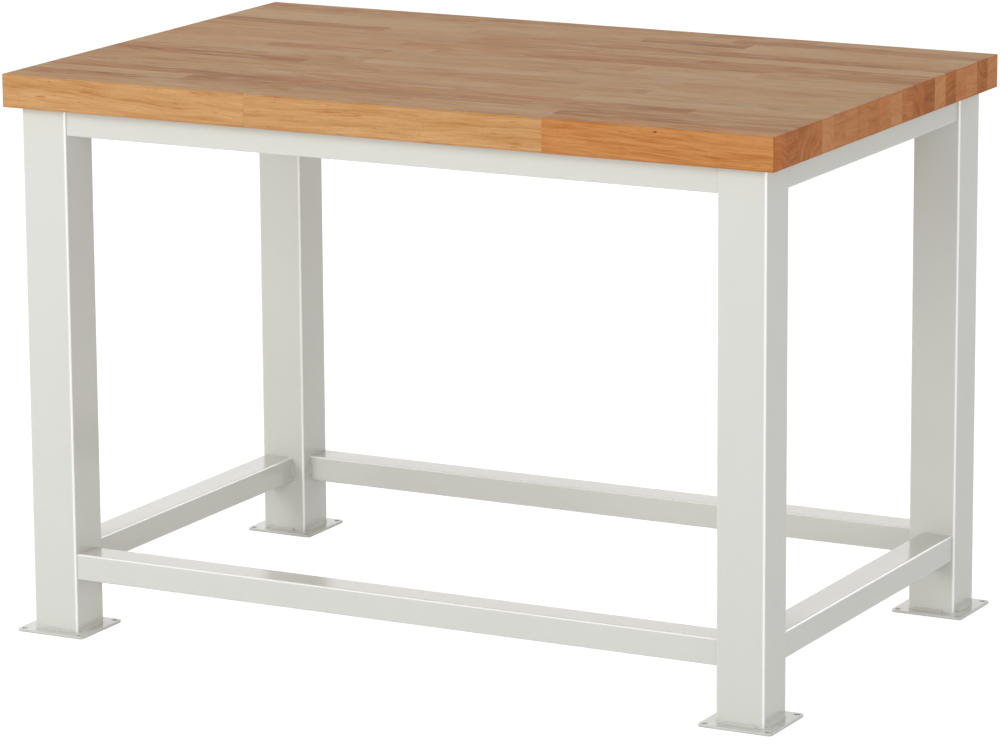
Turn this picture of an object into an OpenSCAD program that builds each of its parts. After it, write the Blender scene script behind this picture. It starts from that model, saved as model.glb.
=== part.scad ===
// Heavy duty workbench: a welded square tube frame on drilled base plates, under a thick
// worktop of glued beech staves that run along its length.
// Millimetres. The origin is on the floor under the middle of the bench, +X runs along its
// length, the front faces -Y and +Z is up.

/* [Worktop] */
// Length of the worktop
top_length = 1250; // [1000:10:2000]
// Depth of the worktop
top_depth = 800; // [600:10:1000]
// Thickness of the worktop
top_thick = 50; // [44:1:80]
// Height of the working surface above the floor
bench_height = 850; // [700:5:1000]
// How far the worktop stands out past the legs at each end
end_overhang = 20; // [5:1:80]
// How far the worktop stands out past the legs at the front and the back
front_overhang = 20; // [5:1:80]
// Flat taken off each outer edge of the worktop
edge_break = 1.5; // [0.5:0.1:4]

/* [Staves] */
// Number of rows of staves across the depth
row_count = 20; // [14:1:24]
// Usual length of a stave
stave_length = 330; // [240:10:500]
// How far a butt joint wanders from its even place
stave_wander = 115; // [0:5:120]
// Shortest stave that is used at an end of the worktop
stave_least = 120; // [60:5:200]
// Width of the glue line where two staves meet end to end
glue_line = 0.1; // [0.05:0.01:0.3]

/* [Legs] */
// Width of the square leg tube
leg_width = 75; // [68:1:90]
// Wall of the leg tube
leg_wall = 3; // [2:0.5:5]
// Outer corner radius of the leg tube
leg_corner = 4; // [3:0.5:8]

/* [Base plates] */
// Width of a square base plate
plate_width = 115; // [112:1:160]
// Thickness of a base plate
plate_thick = 4; // [3:0.5:12]
// Corner radius of a base plate
plate_corner = 6; // [4:1:20]
// Distance between neighbouring floor bolts of a plate
bolt_spacing = 98; // [88:1:102]
// Diameter of the floor bolt holes
bolt_hole_d = 9; // [6.6:0.1:11]

/* [Rails] */
// Width of the rail tube, measured level
rail_width = 50; // [40:1:56]
// Height of the rail tube
rail_height = 40; // [30:1:80]
// Wall of the rail tube
rail_wall = 2.5; // [2:0.5:4]
// Outer corner radius of the rail tube
rail_corner = 3; // [2:0.5:5]
// Step from the legs' outer faces back to the rails' outer faces
rail_inset = 4; // [3:0.5:8]
// Height of the bottom rails' lower faces above the floor
bottom_rail_z = 85; // [40:1:300]

/* [Welds] */
// Leg of the fillet weld beads
weld_size = 4; // [2:0.5:5]
// Clear length between the end of a bead and the end of its seam
weld_end_gap = 8; // [5:0.5:12]

/* [Worktop fixings] */
// Number of fixing tabs on each long rail
long_rail_tabs = 3; // [2:1:6]
// Number of fixing tabs on each end rail
end_rail_tabs = 2; // [1:1:4]
// Reach of a tab from its rail
tab_reach = 40; // [34:1:60]
// Width of a tab along its rail
tab_width = 50; // [34:1:80]
// Thickness of a tab
tab_thick = 5; // [4:0.5:8]
// Radius of a tab's free corners
tab_corner = 6; // [2:0.5:12]
// Overall length of the slot in a tab, across the grain of the worktop
slot_length = 18; // [12:1:24]
// Play of the screw in the slot, measured across it
slot_play = 1; // [0.5:0.1:2]
// Shank diameter of the worktop screws
screw_d = 8; // [6:0.5:8]
// Length of a screw under its head
screw_length = 40; // [30:1:45]
// Length of a screw's tapered point
screw_point = 6; // [4:0.5:10]
// Width across the flats of a screw head
head_flats = 13; // [10:1:15]
// Height of a screw head
head_height = 5.5; // [4:0.5:8]
// Outer diameter of a washer
washer_d = 24; // [20:1:28]
// Thickness of a washer
washer_thick = 2; // [1.5:0.5:3]
// Play of the screw in the washer, on the diameter
washer_play = 0.4; // [0.2:0.1:0.8]
// Room left round a screw in the wood, on the diameter
pilot_play = 0.1; // [0.05:0.05:0.4]
// Room left past a screw's point in the wood
pilot_tip_gap = 1; // [0.5:0.5:3]

/* [Hidden] */
$fn = 48;
eps = 0.01;
paint = "gainsboro";
zinc = "silver";
frame_top = bench_height - top_thick;
leg_x = top_length / 2 - end_overhang - leg_width / 2;
leg_y = top_depth / 2 - front_overhang - leg_width / 2;
leg_height = frame_top - plate_thick;
leg_inner_corner = max(leg_corner - leg_wall, 1);
long_rail_length = 2 * leg_x - leg_width;
end_rail_length = 2 * leg_y - leg_width;
// Distance from a leg's middle out to the middle line of a rail that meets it
rail_offset = leg_width / 2 - rail_inset - rail_width / 2;
rail_x = leg_x + rail_offset;
rail_y = leg_y + rail_offset;
rail_inner_corner = max(rail_corner - rail_wall, 0.5);
top_rail_z = frame_top - rail_height;
slot_width = screw_d + slot_play;
screw_reach = tab_reach / 2 + tab_corner / 2;
screw_seat_z = frame_top - tab_thick - washer_thick;
screw_tip_z = screw_seat_z + screw_length;
pilot_depth = screw_tip_z + pilot_tip_gap - frame_top;
row_width = top_depth / row_count;
// Share of a stave by which each row's joints are shifted from those of the row before
row_shift = 0.618;
first_row_shift = 0.424;
// Angles of the wave that moves each butt joint off its even place
wander_start = -115;
wander_joint_turn = 85;
wander_row_turn = 137;

CORNERS = [
    ["front_left", -1, -1],
    ["front_right", 1, -1],
    ["back_left", -1, 1],
    ["back_right", 1, 1]
];
SIDES = ["front", "back", "left", "right"];

function corner_nodes(stem) = [for (corner = CORNERS) str(stem, "_", corner[0])];
function side_nodes(stem) = [for (side = SIDES) str(stem, "_", side)];
function row_name(row) = str("worktop_row_", row < 9 ? "0" : "", row + 1);
function fraction(value) = value - floor(value);
function is_long(side) = side == "front" || side == "back";
function side_sign(side) = side == "front" || side == "left" ? -1 : 1;

// Rows and butt joints of the worktop
function row_phase(row) = fraction(first_row_shift + row_shift * row);
function wander(row, k) = stave_wander * sin(wander_start + wander_joint_turn * k + wander_row_turn * row);
function joint_place(row, k) = stave_length * (k + row_phase(row)) + wander(row, k);
function joint_places(row) = [
    for (k = [0 : ceil(top_length / stave_length)])
        if (joint_place(row, k) > stave_least && joint_place(row, k) < top_length - stave_least)
            joint_place(row, k)
];

// Places of the fixing screws, as [x, y]
function spread(count, run) = [for (i = [0 : count - 1]) run * ((i + 0.5) / count - 0.5)];
function rail_inner_face(centre_line) = centre_line - rail_width / 2;
function tab_places(side) = is_long(side)
    ? [for (x = spread(long_rail_tabs, long_rail_length)) [x, side_sign(side) * rail_inner_face(rail_y)]]
    : [for (y = spread(end_rail_tabs, end_rail_length)) [side_sign(side) * rail_inner_face(rail_x), y]];
function inward_turn(side) = is_long(side) ? -90 * side_sign(side) : (side_sign(side) > 0 ? 180 : 0);
function inward(side) = [cos(inward_turn(side)), sin(inward_turn(side))];
SCREW_PLACES = [for (side = SIDES) for (place = tab_places(side)) place + screw_reach * inward(side)];

// Outlines
module rounded_rect(width, height, corner) {
    square([width - 2 * corner, height], center = true);
    square([width, height - 2 * corner], center = true);
    for (x = [-1, 1], y = [-1, 1])
        translate([x * (width / 2 - corner), y * (height / 2 - corner)])
            circle(r = corner);
}

module tube_outline(width, height, wall, corner, inner_corner) {
    difference() {
        rounded_rect(width, height, corner);
        rounded_rect(width - 2 * wall, height - 2 * wall, inner_corner);
    }
}

module slot_outline(length, width) {
    square([length - width, width], center = true);
    for (x = [-1, 1])
        translate([x * (length - width) / 2, 0])
            circle(d = width);
}

// Turns an outline in X and Z into a bar that runs along Y
module along_y(run) {
    rotate([90, 0, 0])
        linear_extrude(run, center = true)
            children();
}

// Turns an outline in Y and Z into a bar that runs along X
module along_x(run) {
    rotate([90, 0, 90])
        linear_extrude(run, center = true)
            children();
}

// Draws for the back right corner are mirrored to the corner that is asked for
module at_corner(corner) {
    mirror([corner[1] < 0 ? 1 : 0, 0, 0])
        mirror([0, corner[2] < 0 ? 1 : 0, 0])
            children();
}

// Legs and base plates
module leg(corner) {
    color(paint)
        at_corner(corner)
            translate([leg_x, leg_y, plate_thick])
                linear_extrude(leg_height)
                    tube_outline(leg_width, leg_width, leg_wall, leg_corner, leg_inner_corner);
}

module base_plate(corner) {
    color(paint)
        at_corner(corner)
            translate([leg_x, leg_y, 0])
                linear_extrude(plate_thick)
                    difference() {
                        rounded_rect(plate_width, plate_width, plate_corner);
                        for (x = [-1, 1], y = [-1, 1])
                            translate([x * bolt_spacing / 2, y * bolt_spacing / 2])
                                circle(d = bolt_hole_d);
                    }
}

// A round bead with domed ends along Y, as laid down before its seam's walls cut it
module round_bead(run) {
    straight = run - 2 * weld_size;
    rotate([90, 0, 0])
        cylinder(r = weld_size, h = straight, center = true);
    for (end = [-1, 1])
        translate([0, end * straight / 2, 0])
            sphere(r = weld_size);
}

// The quarter of a bead that shows between a wall at X = 0 and a floor at Z = 0
module corner_bead(run) {
    intersection() {
        round_bead(run);
        translate([0, -run / 2, 0])
            cube([weld_size + eps, run, weld_size + eps]);
    }
}

module base_welds(corner) {
    color(paint)
        at_corner(corner)
            translate([leg_x, leg_y, plate_thick])
                for (turn = [0 : 90 : 270])
                    rotate(turn)
                        translate([leg_width / 2, 0, 0])
                            corner_bead(leg_width - 2 * weld_end_gap);
}

// Beads round a rail's end, in the place where the leg's face is X = 0, the rail runs to +X
// from the origin and its outer side is +Y. The outer side and the top have no bead
module rail_end_beads() {
    difference() {
        union() {
            translate([0, -rail_width / 2, 0])
                rotate([90, 0, 0])
                    round_bead(rail_height - 2 * weld_end_gap);
            translate([0, 0, -rail_height / 2])
                round_bead(rail_width - 2 * weld_end_gap);
        }
        translate([-leg_width / 2, -rail_offset, 0])
            linear_extrude(2 * rail_height, center = true)
                rounded_rect(leg_width, leg_width, leg_corner);
        translate([rail_height / 2, 0, 0])
            along_x(rail_height)
                rounded_rect(rail_width, rail_height, rail_corner);
    }
}

// Beads at both rails that meet a leg, for rails whose lower faces are at height low_z
module leg_rail_welds(corner, low_z) {
    color(paint)
        at_corner(corner) {
            translate([leg_x - leg_width / 2, rail_y, low_z + rail_height / 2])
                mirror([1, 0, 0])
                    rail_end_beads();
            translate([rail_x, leg_y - leg_width / 2, low_z + rail_height / 2])
                rotate(-90)
                    rail_end_beads();
        }
}

// A rail on one side of the frame, with its lower face at height low_z
module rail(side, low_z) {
    color(paint)
        translate([0, 0, low_z + rail_height / 2])
            if (is_long(side))
                translate([0, side_sign(side) * rail_y, 0])
                    along_x(long_rail_length)
                        tube_outline(rail_width, rail_height, rail_wall, rail_corner, rail_inner_corner);
            else
                translate([side_sign(side) * rail_x, 0, 0])
                    along_y(end_rail_length)
                        tube_outline(rail_width, rail_height, rail_wall, rail_corner, rail_inner_corner);
}

// A tab that stands on a rail's inner face at X = 0 and reaches to +X, under Z = 0
module fixing_tab(slot_turn) {
    translate([0, 0, -tab_thick])
        linear_extrude(tab_thick)
            difference() {
                union() {
                    translate([0, -tab_width / 2])
                        square([tab_reach - tab_corner, tab_width]);
                    translate([0, tab_corner - tab_width / 2])
                        square([tab_reach, tab_width - 2 * tab_corner]);
                    for (y = [-1, 1])
                        translate([tab_reach - tab_corner, y * (tab_width / 2 - tab_corner)])
                            circle(r = tab_corner);
                }
                translate([screw_reach, 0])
                    rotate(slot_turn)
                        slot_outline(slot_length, slot_width);
            }
}

module on_rail_tabs(side) {
    for (place = tab_places(side))
        translate([place[0], place[1], frame_top])
            rotate(inward_turn(side))
                children();
}

module fixing_tabs(side) {
    color(paint)
        on_rail_tabs(side)
            fixing_tab(is_long(side) ? 0 : 90);
}

module fixing_tab_welds() {
    color(paint)
        for (side = SIDES)
            on_rail_tabs(side)
                translate([0, 0, -tab_thick])
                    mirror([0, 0, 1])
                        corner_bead(tab_width - 2 * weld_end_gap);
}

module at_screws(z) {
    for (place = SCREW_PLACES)
        translate([place[0], place[1], z])
            children();
}

module worktop_washers() {
    color(zinc)
        at_screws(screw_seat_z)
            difference() {
                cylinder(d = washer_d, h = washer_thick);
                translate([0, 0, -eps])
                    cylinder(d = screw_d + washer_play, h = washer_thick + 2 * eps);
            }
}

module worktop_screw() {
    translate([0, 0, -head_height])
        cylinder(d = head_flats / cos(30), h = head_height, $fn = 6);
    cylinder(d = screw_d, h = screw_length - screw_point);
    translate([0, 0, screw_length - screw_point])
        cylinder(d1 = screw_d, d2 = screw_d / 4, h = screw_point);
}

module worktop_screws() {
    color(zinc)
        at_screws(screw_seat_z)
            worktop_screw();
}

// A block with the worktop's outer size and its edges broken
module worktop_block() {
    intersection() {
        translate([0, 0, frame_top + top_thick / 2])
            along_x(top_length)
                broken_rect(top_depth, top_thick);
        translate([0, 0, frame_top + top_thick / 2])
            along_y(top_depth)
                broken_rect(top_length, top_thick);
        translate([0, 0, frame_top])
            linear_extrude(top_thick)
                broken_rect(top_length, top_depth);
    }
}

module broken_rect(width, height) {
    x = width / 2;
    y = height / 2;
    polygon([
        [edge_break - x, -y], [x - edge_break, -y], [x, edge_break - y], [x, y - edge_break],
        [x - edge_break, y], [edge_break - x, y], [-x, y - edge_break], [-x, edge_break - y]
    ]);
}

// The space of one stave between two places along its row, counted from the left end
module stave_space(row, start, end) {
    translate([start - top_length / 2, row * row_width - top_depth / 2, frame_top])
        cube([end - start, row_width, top_thick]);
}

module pilot_bores(row) {
    row_middle = (row + 0.5) * row_width - top_depth / 2;
    bore_d = screw_d + pilot_play;
    for (place = SCREW_PLACES)
        if (abs(place[1] - row_middle) < (row_width + bore_d) / 2)
            translate([place[0], place[1], frame_top - eps])
                cylinder(d = bore_d, h = pilot_depth + eps);
}

module worktop_row(row) {
    joints = joint_places(row);
    last = len(joints);
    tone = 0.62 + 0.1 * row_phase(row);
    color([tone + 0.1, tone - 0.05, tone - 0.22])
        for (stave = [0 : last])
            difference() {
                intersection() {
                    worktop_block();
                    stave_space(
                        row,
                        stave == 0 ? 0 : joints[stave - 1] + glue_line / 2,
                        stave == last ? top_length : joints[stave] - glue_line / 2
                    );
                }
                pilot_bores(row);
            }
}

for (corner = CORNERS) {
    leg(corner);
    base_plate(corner);
    base_welds(corner);
    leg_rail_welds(corner, top_rail_z);
    leg_rail_welds(corner, bottom_rail_z);
}
for (side = SIDES) {
    rail(side, top_rail_z);
    rail(side, bottom_rail_z);
    fixing_tabs(side);
}
fixing_tab_welds();
worktop_washers();
worktop_screws();
for (row = [0 : row_count - 1]) {
    worktop_row(row);
}
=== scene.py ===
"""Looks of a heavy duty workbench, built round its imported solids.

Each sub-assembly is a class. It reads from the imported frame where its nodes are, builds finer
meshes in their places with bmesh operators, and dresses them in its finishes. Sizes are in
metres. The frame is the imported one: the origin is on the floor under the middle of the bench,
+X runs along its length, the front faces -Y and +Z is up.
"""

from __future__ import annotations

import logging
import math
import random
from dataclasses import dataclass, field
from enum import Enum
from typing import ClassVar, Iterable, Optional, Sequence, Union

import bmesh
import bpy
from mathutils import Matrix, Vector


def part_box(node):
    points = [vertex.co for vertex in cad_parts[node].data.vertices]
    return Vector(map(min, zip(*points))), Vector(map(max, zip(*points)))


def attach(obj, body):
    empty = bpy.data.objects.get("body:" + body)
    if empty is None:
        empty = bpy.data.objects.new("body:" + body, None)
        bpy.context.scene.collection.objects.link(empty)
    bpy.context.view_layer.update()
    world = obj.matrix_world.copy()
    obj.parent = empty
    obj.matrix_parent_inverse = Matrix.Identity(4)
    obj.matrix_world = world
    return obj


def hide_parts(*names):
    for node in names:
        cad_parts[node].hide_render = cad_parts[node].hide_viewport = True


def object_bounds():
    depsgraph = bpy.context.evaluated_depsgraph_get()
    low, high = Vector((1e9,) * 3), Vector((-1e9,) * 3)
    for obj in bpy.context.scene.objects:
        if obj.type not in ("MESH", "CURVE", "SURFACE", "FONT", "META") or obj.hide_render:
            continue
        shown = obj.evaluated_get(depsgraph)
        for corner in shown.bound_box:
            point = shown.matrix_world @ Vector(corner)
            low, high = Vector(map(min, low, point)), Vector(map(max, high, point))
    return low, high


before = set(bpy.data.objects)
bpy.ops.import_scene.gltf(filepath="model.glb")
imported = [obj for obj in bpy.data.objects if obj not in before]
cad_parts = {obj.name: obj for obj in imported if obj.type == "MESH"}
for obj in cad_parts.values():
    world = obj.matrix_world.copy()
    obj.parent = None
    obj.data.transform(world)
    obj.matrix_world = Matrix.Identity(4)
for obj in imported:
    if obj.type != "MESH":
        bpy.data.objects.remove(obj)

LOG = logging.getLogger("workbench")
CAD_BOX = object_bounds()
BODY = "root"
X_WAY, Y_WAY, Z_WAY = Vector((1, 0, 0)), Vector((0, 1, 0)), Vector((0, 0, 1))

Colour = tuple[float, float, float]


class Named(Enum):
    """A choice that is also a word in the names of nodes and pieces."""

    @property
    def word(self) -> str:
        """The choice's word in those names."""
        return self.name.lower()


class Corner(Named):
    """The four corners of the bench, by the signs of their X and Y."""

    FRONT_LEFT = (-1, -1)
    FRONT_RIGHT = (1, -1)
    BACK_LEFT = (-1, 1)
    BACK_RIGHT = (1, 1)

    @property
    def long_side(self) -> "Side":
        """The side, front or back, that this corner is on."""
        return Side.FRONT if self.value[1] < 0 else Side.BACK

    @property
    def end_side(self) -> "Side":
        """The side, left or right, that this corner is on."""
        return Side.LEFT if self.value[0] < 0 else Side.RIGHT


class Side(Named):
    """The four sides of the bench, by the way that each faces."""

    FRONT = (0, -1)
    BACK = (0, 1)
    LEFT = (-1, 0)
    RIGHT = (1, 0)

    @property
    def run(self) -> Vector:
        """The way that a rail on this side runs."""
        return X_WAY if self.value[0] == 0 else Y_WAY

    @property
    def outward(self) -> Vector:
        """The way that this side faces."""
        return Vector((*self.value, 0))

    @property
    def across(self) -> Vector:
        """The way across a rail on this side, along +X or +Y."""
        return Vector((abs(self.value[0]), abs(self.value[1]), 0))


class Level(Named):
    """The two rings of rails."""

    TOP = "top"
    BOTTOM = "bottom"


class Slot(Enum):
    """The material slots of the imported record."""

    POWDER_COAT = "powder_coat"
    BEECH = "beech"
    ZINC = "zinc"


@dataclass(frozen=True)
class NodeBox:
    """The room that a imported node, or one solid of it, takes."""

    low: Vector
    high: Vector

    @classmethod
    def of(cls, node: str) -> "NodeBox":
        """The box of the node with this name."""
        return cls(*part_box(node))

    @property
    def middle(self) -> Vector:
        """The middle of the box."""
        return (self.low + self.high) / 2

    @property
    def size(self) -> Vector:
        """The box's extent along each axis."""
        return self.high - self.low

    def middle_at(self, height: float) -> Vector:
        """The middle of the box, moved to a height."""
        return Vector((self.middle.x, self.middle.y, height))


# Shaders


class Wire:
    """One output socket of a shader node, with Python's operators for what is done to it.

    The operators add Math nodes for numbers, Vector Math nodes for vectors and Mix nodes for
    colours, so that shader maths reads as an ordinary expression.
    """

    def __init__(self, graph: "Graph", socket: bpy.types.NodeSocket) -> None:
        """Wrap a socket of a node in the graph."""
        self.graph = graph
        self.socket = socket

    def sibling(self, name: str) -> "Wire":
        """Another output of the same node."""
        return Wire(self.graph, self.socket.node.outputs[name])

    def __add__(self, other: "Value") -> "Wire":
        """The sum."""
        return self.graph.combine("ADD", self, other)

    __radd__ = __add__

    def __mul__(self, other: "Value") -> "Wire":
        """The product."""
        return self.graph.combine("MULTIPLY", self, other)

    __rmul__ = __mul__

    def __sub__(self, other: "Value") -> "Wire":
        """The difference."""
        return self.graph.combine("SUBTRACT", self, other)

    def __rsub__(self, other: "Value") -> "Wire":
        """The difference, with this one taken away."""
        return self.graph.combine("SUBTRACT", other, self)

    def __truediv__(self, other: "Value") -> "Wire":
        """The quotient."""
        return self.graph.combine("DIVIDE", self, other)

    def __rtruediv__(self, other: "Value") -> "Wire":
        """The quotient, with this one below the line."""
        return self.graph.combine("DIVIDE", other, self)

    def __pow__(self, power: float) -> "Wire":
        """This number raised to a power."""
        return self.graph.combine("POWER", self, power)

    def apply(self, operation: str) -> "Wire":
        """A Math operation that takes this number alone, such as SQRT or FRACT."""
        return self.graph.node("ShaderNodeMath", {"operation": operation}, {0: self})

    def rise(self, low: float, high: float) -> "Wire":
        """A smooth rise from 0 where this number is low to 1 where it is high.

        Args:
            low: The number at which the rise starts.
            high: The number at which it ends, which may be below low for a fall.

        Returns:
            A number from 0 to 1.
        """
        settings = {"interpolation_type": "SMOOTHSTEP", "clamp": True}
        values = {"Value": self, "From Min": low, "From Max": high}
        return self.graph.node("ShaderNodeMapRange", settings, values)

    def axes(self) -> tuple["Wire", "Wire", "Wire"]:
        """The three parts of a vector."""
        first = self.graph.node("ShaderNodeSeparateXYZ", {}, {0: self}, "X")
        return first, first.sibling("Y"), first.sibling("Z")


Value = Union[Wire, float, Sequence[float]]


class Graph:
    """The node tree of a material or of the world, emptied and ready for wires.

    The places are those of a Mix node's sockets for colours.
    """

    SHARE_PLACE: ClassVar[int] = 0
    FIRST_PLACE: ClassVar[int] = 6
    SECOND_PLACE: ClassVar[int] = 7
    RESULT_PLACE: ClassVar[int] = 2

    def __init__(self, tree: bpy.types.NodeTree) -> None:
        """Take over a tree and clear it."""
        self.tree = tree
        tree.nodes.clear()

    def node(
        self,
        kind: str,
        settings: Optional[dict[str, object]] = None,
        values: Optional[dict[Union[str, int], Value]] = None,
        output: Union[str, int] = 0,
    ) -> Wire:
        """Add a node of any type.

        Args:
            kind: The node's type.
            settings: Its own settings, which are made before its sockets are filled.
            values: Numbers, tuples or wires for its input sockets, by name or place.
            output: The output socket that is wanted.

        Returns:
            The wire from that output, or None for a node that has no outputs.
        """
        made = self.tree.nodes.new(kind)
        for key, setting in (settings or {}).items():
            if key == "stops":
                self._set_stops(made.color_ramp, setting)
            else:
                setattr(made, key, setting)
        for key, value in (values or {}).items():
            socket = made.inputs[key]
            if isinstance(value, Wire):
                self.tree.links.new(value.socket, socket)
            else:
                socket.default_value = value
        return Wire(self, made.outputs[output]) if made.outputs else None

    @staticmethod
    def _set_stops(ramp: bpy.types.ColorRamp, stops: Sequence[tuple[float, Colour]]) -> None:
        """Give a ramp its stops.

        Args:
            ramp: The ramp.
            stops: For each stop, its place from 0 to 1 and its colour.
        """
        while len(ramp.elements) < len(stops):
            ramp.elements.new(1.0)
        for element, (place, colour) in zip(ramp.elements, stops):
            element.position = place
            element.color = (*colour, 1.0)

    def combine(self, operation: str, left: Value, right: Value) -> Wire:
        """Join two values by an operation, with the node that suits their kind.

        Args:
            operation: What is done, such as ADD.
            left: The first value.
            right: The second value.

        Returns:
            The result.
        """
        kinds = {value.socket.type for value in (left, right) if isinstance(value, Wire)}
        if "RGBA" in kinds:
            return self.mix(1.0, left, right, operation)
        kind = "ShaderNodeVectorMath" if "VECTOR" in kinds else "ShaderNodeMath"
        if "VECTOR" in kinds:
            left, right = self._as_vector(left), self._as_vector(right)
        return self.node(kind, {"operation": operation}, {0: left, 1: right})

    @staticmethod
    def _as_colour(value: Value) -> Value:
        """Make a value fit for a colour socket.

        Args:
            value: A wire, a colour, or one number for a grey.

        Returns:
            The value as the socket takes it.
        """
        if isinstance(value, Wire):
            return value
        return (value, value, value, 1.0) if isinstance(value, (int, float)) else (*value, 1.0)

    @staticmethod
    def _as_vector(value: Value) -> Value:
        """A value that a vector socket takes."""
        return (value,) * 3 if isinstance(value, (int, float)) else value

    def mix(self, share: Value, first: Value, second: Value, blend: str = "MIX") -> Wire:
        """Mix two colours.

        Args:
            share: How much is made of the second colour, from 0 to 1.
            first: The first colour.
            second: The second colour.
            blend: How the second goes over the first, such as MULTIPLY.

        Returns:
            The colour.
        """
        settings = {"data_type": "RGBA", "blend_type": blend}
        values = {
            self.SHARE_PLACE: share,
            self.FIRST_PLACE: self._as_colour(first),
            self.SECOND_PLACE: self._as_colour(second),
        }
        return self.node("ShaderNodeMix", settings, values, self.RESULT_PLACE)

    def place(self) -> Wire:
        """The point on the piece, in the row frame."""
        return self.node("ShaderNodeTexCoord", {}, {}, "Object")

    def marked(self, attribute: str, output: str = "Fac") -> Wire:
        """What a mesh attribute of the piece says there."""
        settings = {"attribute_type": "GEOMETRY", "attribute_name": attribute}
        return self.node("ShaderNodeAttribute", settings, {}, output)

    def cloud(self, place: Wire, scale: float, detail: float = 2.0, roughness: float = 0.5) -> Wire:
        """Soft noise from 0 to 1, with features of about 1/scale metres."""
        values = {"Vector": place, "Scale": scale, "Detail": detail, "Roughness": roughness}
        return self.node("ShaderNodeTexNoise", {"noise_dimensions": "3D"}, values)

    def relief(self, height: Wire, depth: float, under: Optional[Wire] = None) -> Wire:
        """A normal that shows a height as a relief.

        Args:
            height: The height, from 0 to 1.
            depth: The relief's depth.
            under: The normal that the relief is laid on, if any.

        Returns:
            The normal.
        """
        values = {"Height": height, "Distance": depth, "Strength": 1.0}
        if under is not None:
            values["Normal"] = under
        return self.node("ShaderNodeBump", {}, values)


@dataclass(frozen=True)
class Layer:
    """A layer of noise in a finish: its repeats per metre along each axis, and what it does.

    A layer with a window is 0 where the noise is below it and 1 where it is above.
    """

    repeats: tuple[float, float, float]
    detail: float = 1.0
    roughness: float = 0.5
    share: float = 1.0
    window: Optional[tuple[float, float]] = None

    def at(self, place: Wire) -> Wire:
        """The layer's value, from 0 to 1, at a place."""
        noise = place.graph.cloud(place * self.repeats, 1.0, self.detail, self.roughness)
        return noise.rise(*self.window) if self.window else noise


@dataclass(frozen=True)
class Finish:
    """A finish that pieces wear. Each kind says how its surface is shaded."""

    name: str = "finish"

    def material(self) -> bpy.types.Material:
        """The finish's material, made the first time that it is asked for.

        Returns:
            The material.
        """
        made = bpy.data.materials.get(self.name)
        if made is None:
            made = bpy.data.materials.new(self.name)
            made.use_nodes = True
            graph = Graph(made.node_tree)
            surface = self.surface(graph)
            graph.node("ShaderNodeOutputMaterial", {}, {"Surface": surface})
        return made

    def surface(self, graph: Graph) -> Wire:
        """The finish's shader. Each kind of finish has its own."""
        raise NotImplementedError


@dataclass(frozen=True)
class PowderCoat(Finish):
    """Satin light grey powder coat with a fine even texture."""

    name: str = "satin_powder_coat"
    colour: Colour = (0.640, 0.648, 0.600)
    # Near-white base colour painted along edges: a painted highlight.
    edge_colour: Colour = (0.985, 0.985, 0.965)
    edge_ior: float = 2.4
    edge_roughness: float = 0.28
    roughness: float = 0.17
    roughness_scale: float = 26.0
    roughness_play: float = 0.06
    cloud_scale: float = 9.0
    cloud_detail: float = 3.0
    cloudiness: float = 0.035
    peel_scale: float = 420.0
    peel_depth: float = 0.00001
    grit_scale: float = 2600.0
    grit_depth: float = 0.000003
    # Painted contact shadow: the colour darkens below this height, by this much at the floor.
    foot_height: float = 0.0042
    foot_shade: float = 0.26

    def surface(self, graph: Graph) -> Wire:
        """Even paint, faintly cloudy, glossier along edges with a painted highlight there, and
        darkened by a painted shadow where it meets the floor.

        Args:
            graph: The finish's graph.

        Returns:
            The shader.
        """
        place = graph.place()
        clouds = graph.cloud(place, self.cloud_scale, self.cloud_detail)
        peel = graph.cloud(place, self.peel_scale, 1.0)
        grit = graph.cloud(place, self.grit_scale, 1.0)
        tone = 1.0 + (clouds - 0.5) * self.cloudiness + (grit - 0.5) * self.cloudiness
        # Painted shadow: the colour is darkened within a few millimetres of the floor.
        tone = tone - place.axes()[2].rise(self.foot_height, 0.0) * self.foot_shade
        edge = graph.marked("edge_run")
        # Painted highlight: the base colour turns near white along the marked edges, which also get
        # a glossy coat.
        paint = graph.mix(edge, self.colour, self.edge_colour) * tone
        dullness = graph.cloud(place, self.roughness_scale)
        rough = self.roughness + (dullness - 0.5) * self.roughness_play
        normal = graph.relief(grit, self.grit_depth, graph.relief(peel, self.peel_depth))
        values = {
            "Base Color": paint,
            "Roughness": rough,
            "Normal": normal,
            "Coat Weight": edge,
            "Coat IOR": self.edge_ior,
            "Coat Roughness": self.edge_roughness,
        }
        return graph.node("ShaderNodeBsdfPrincipled", {}, values)


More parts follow.
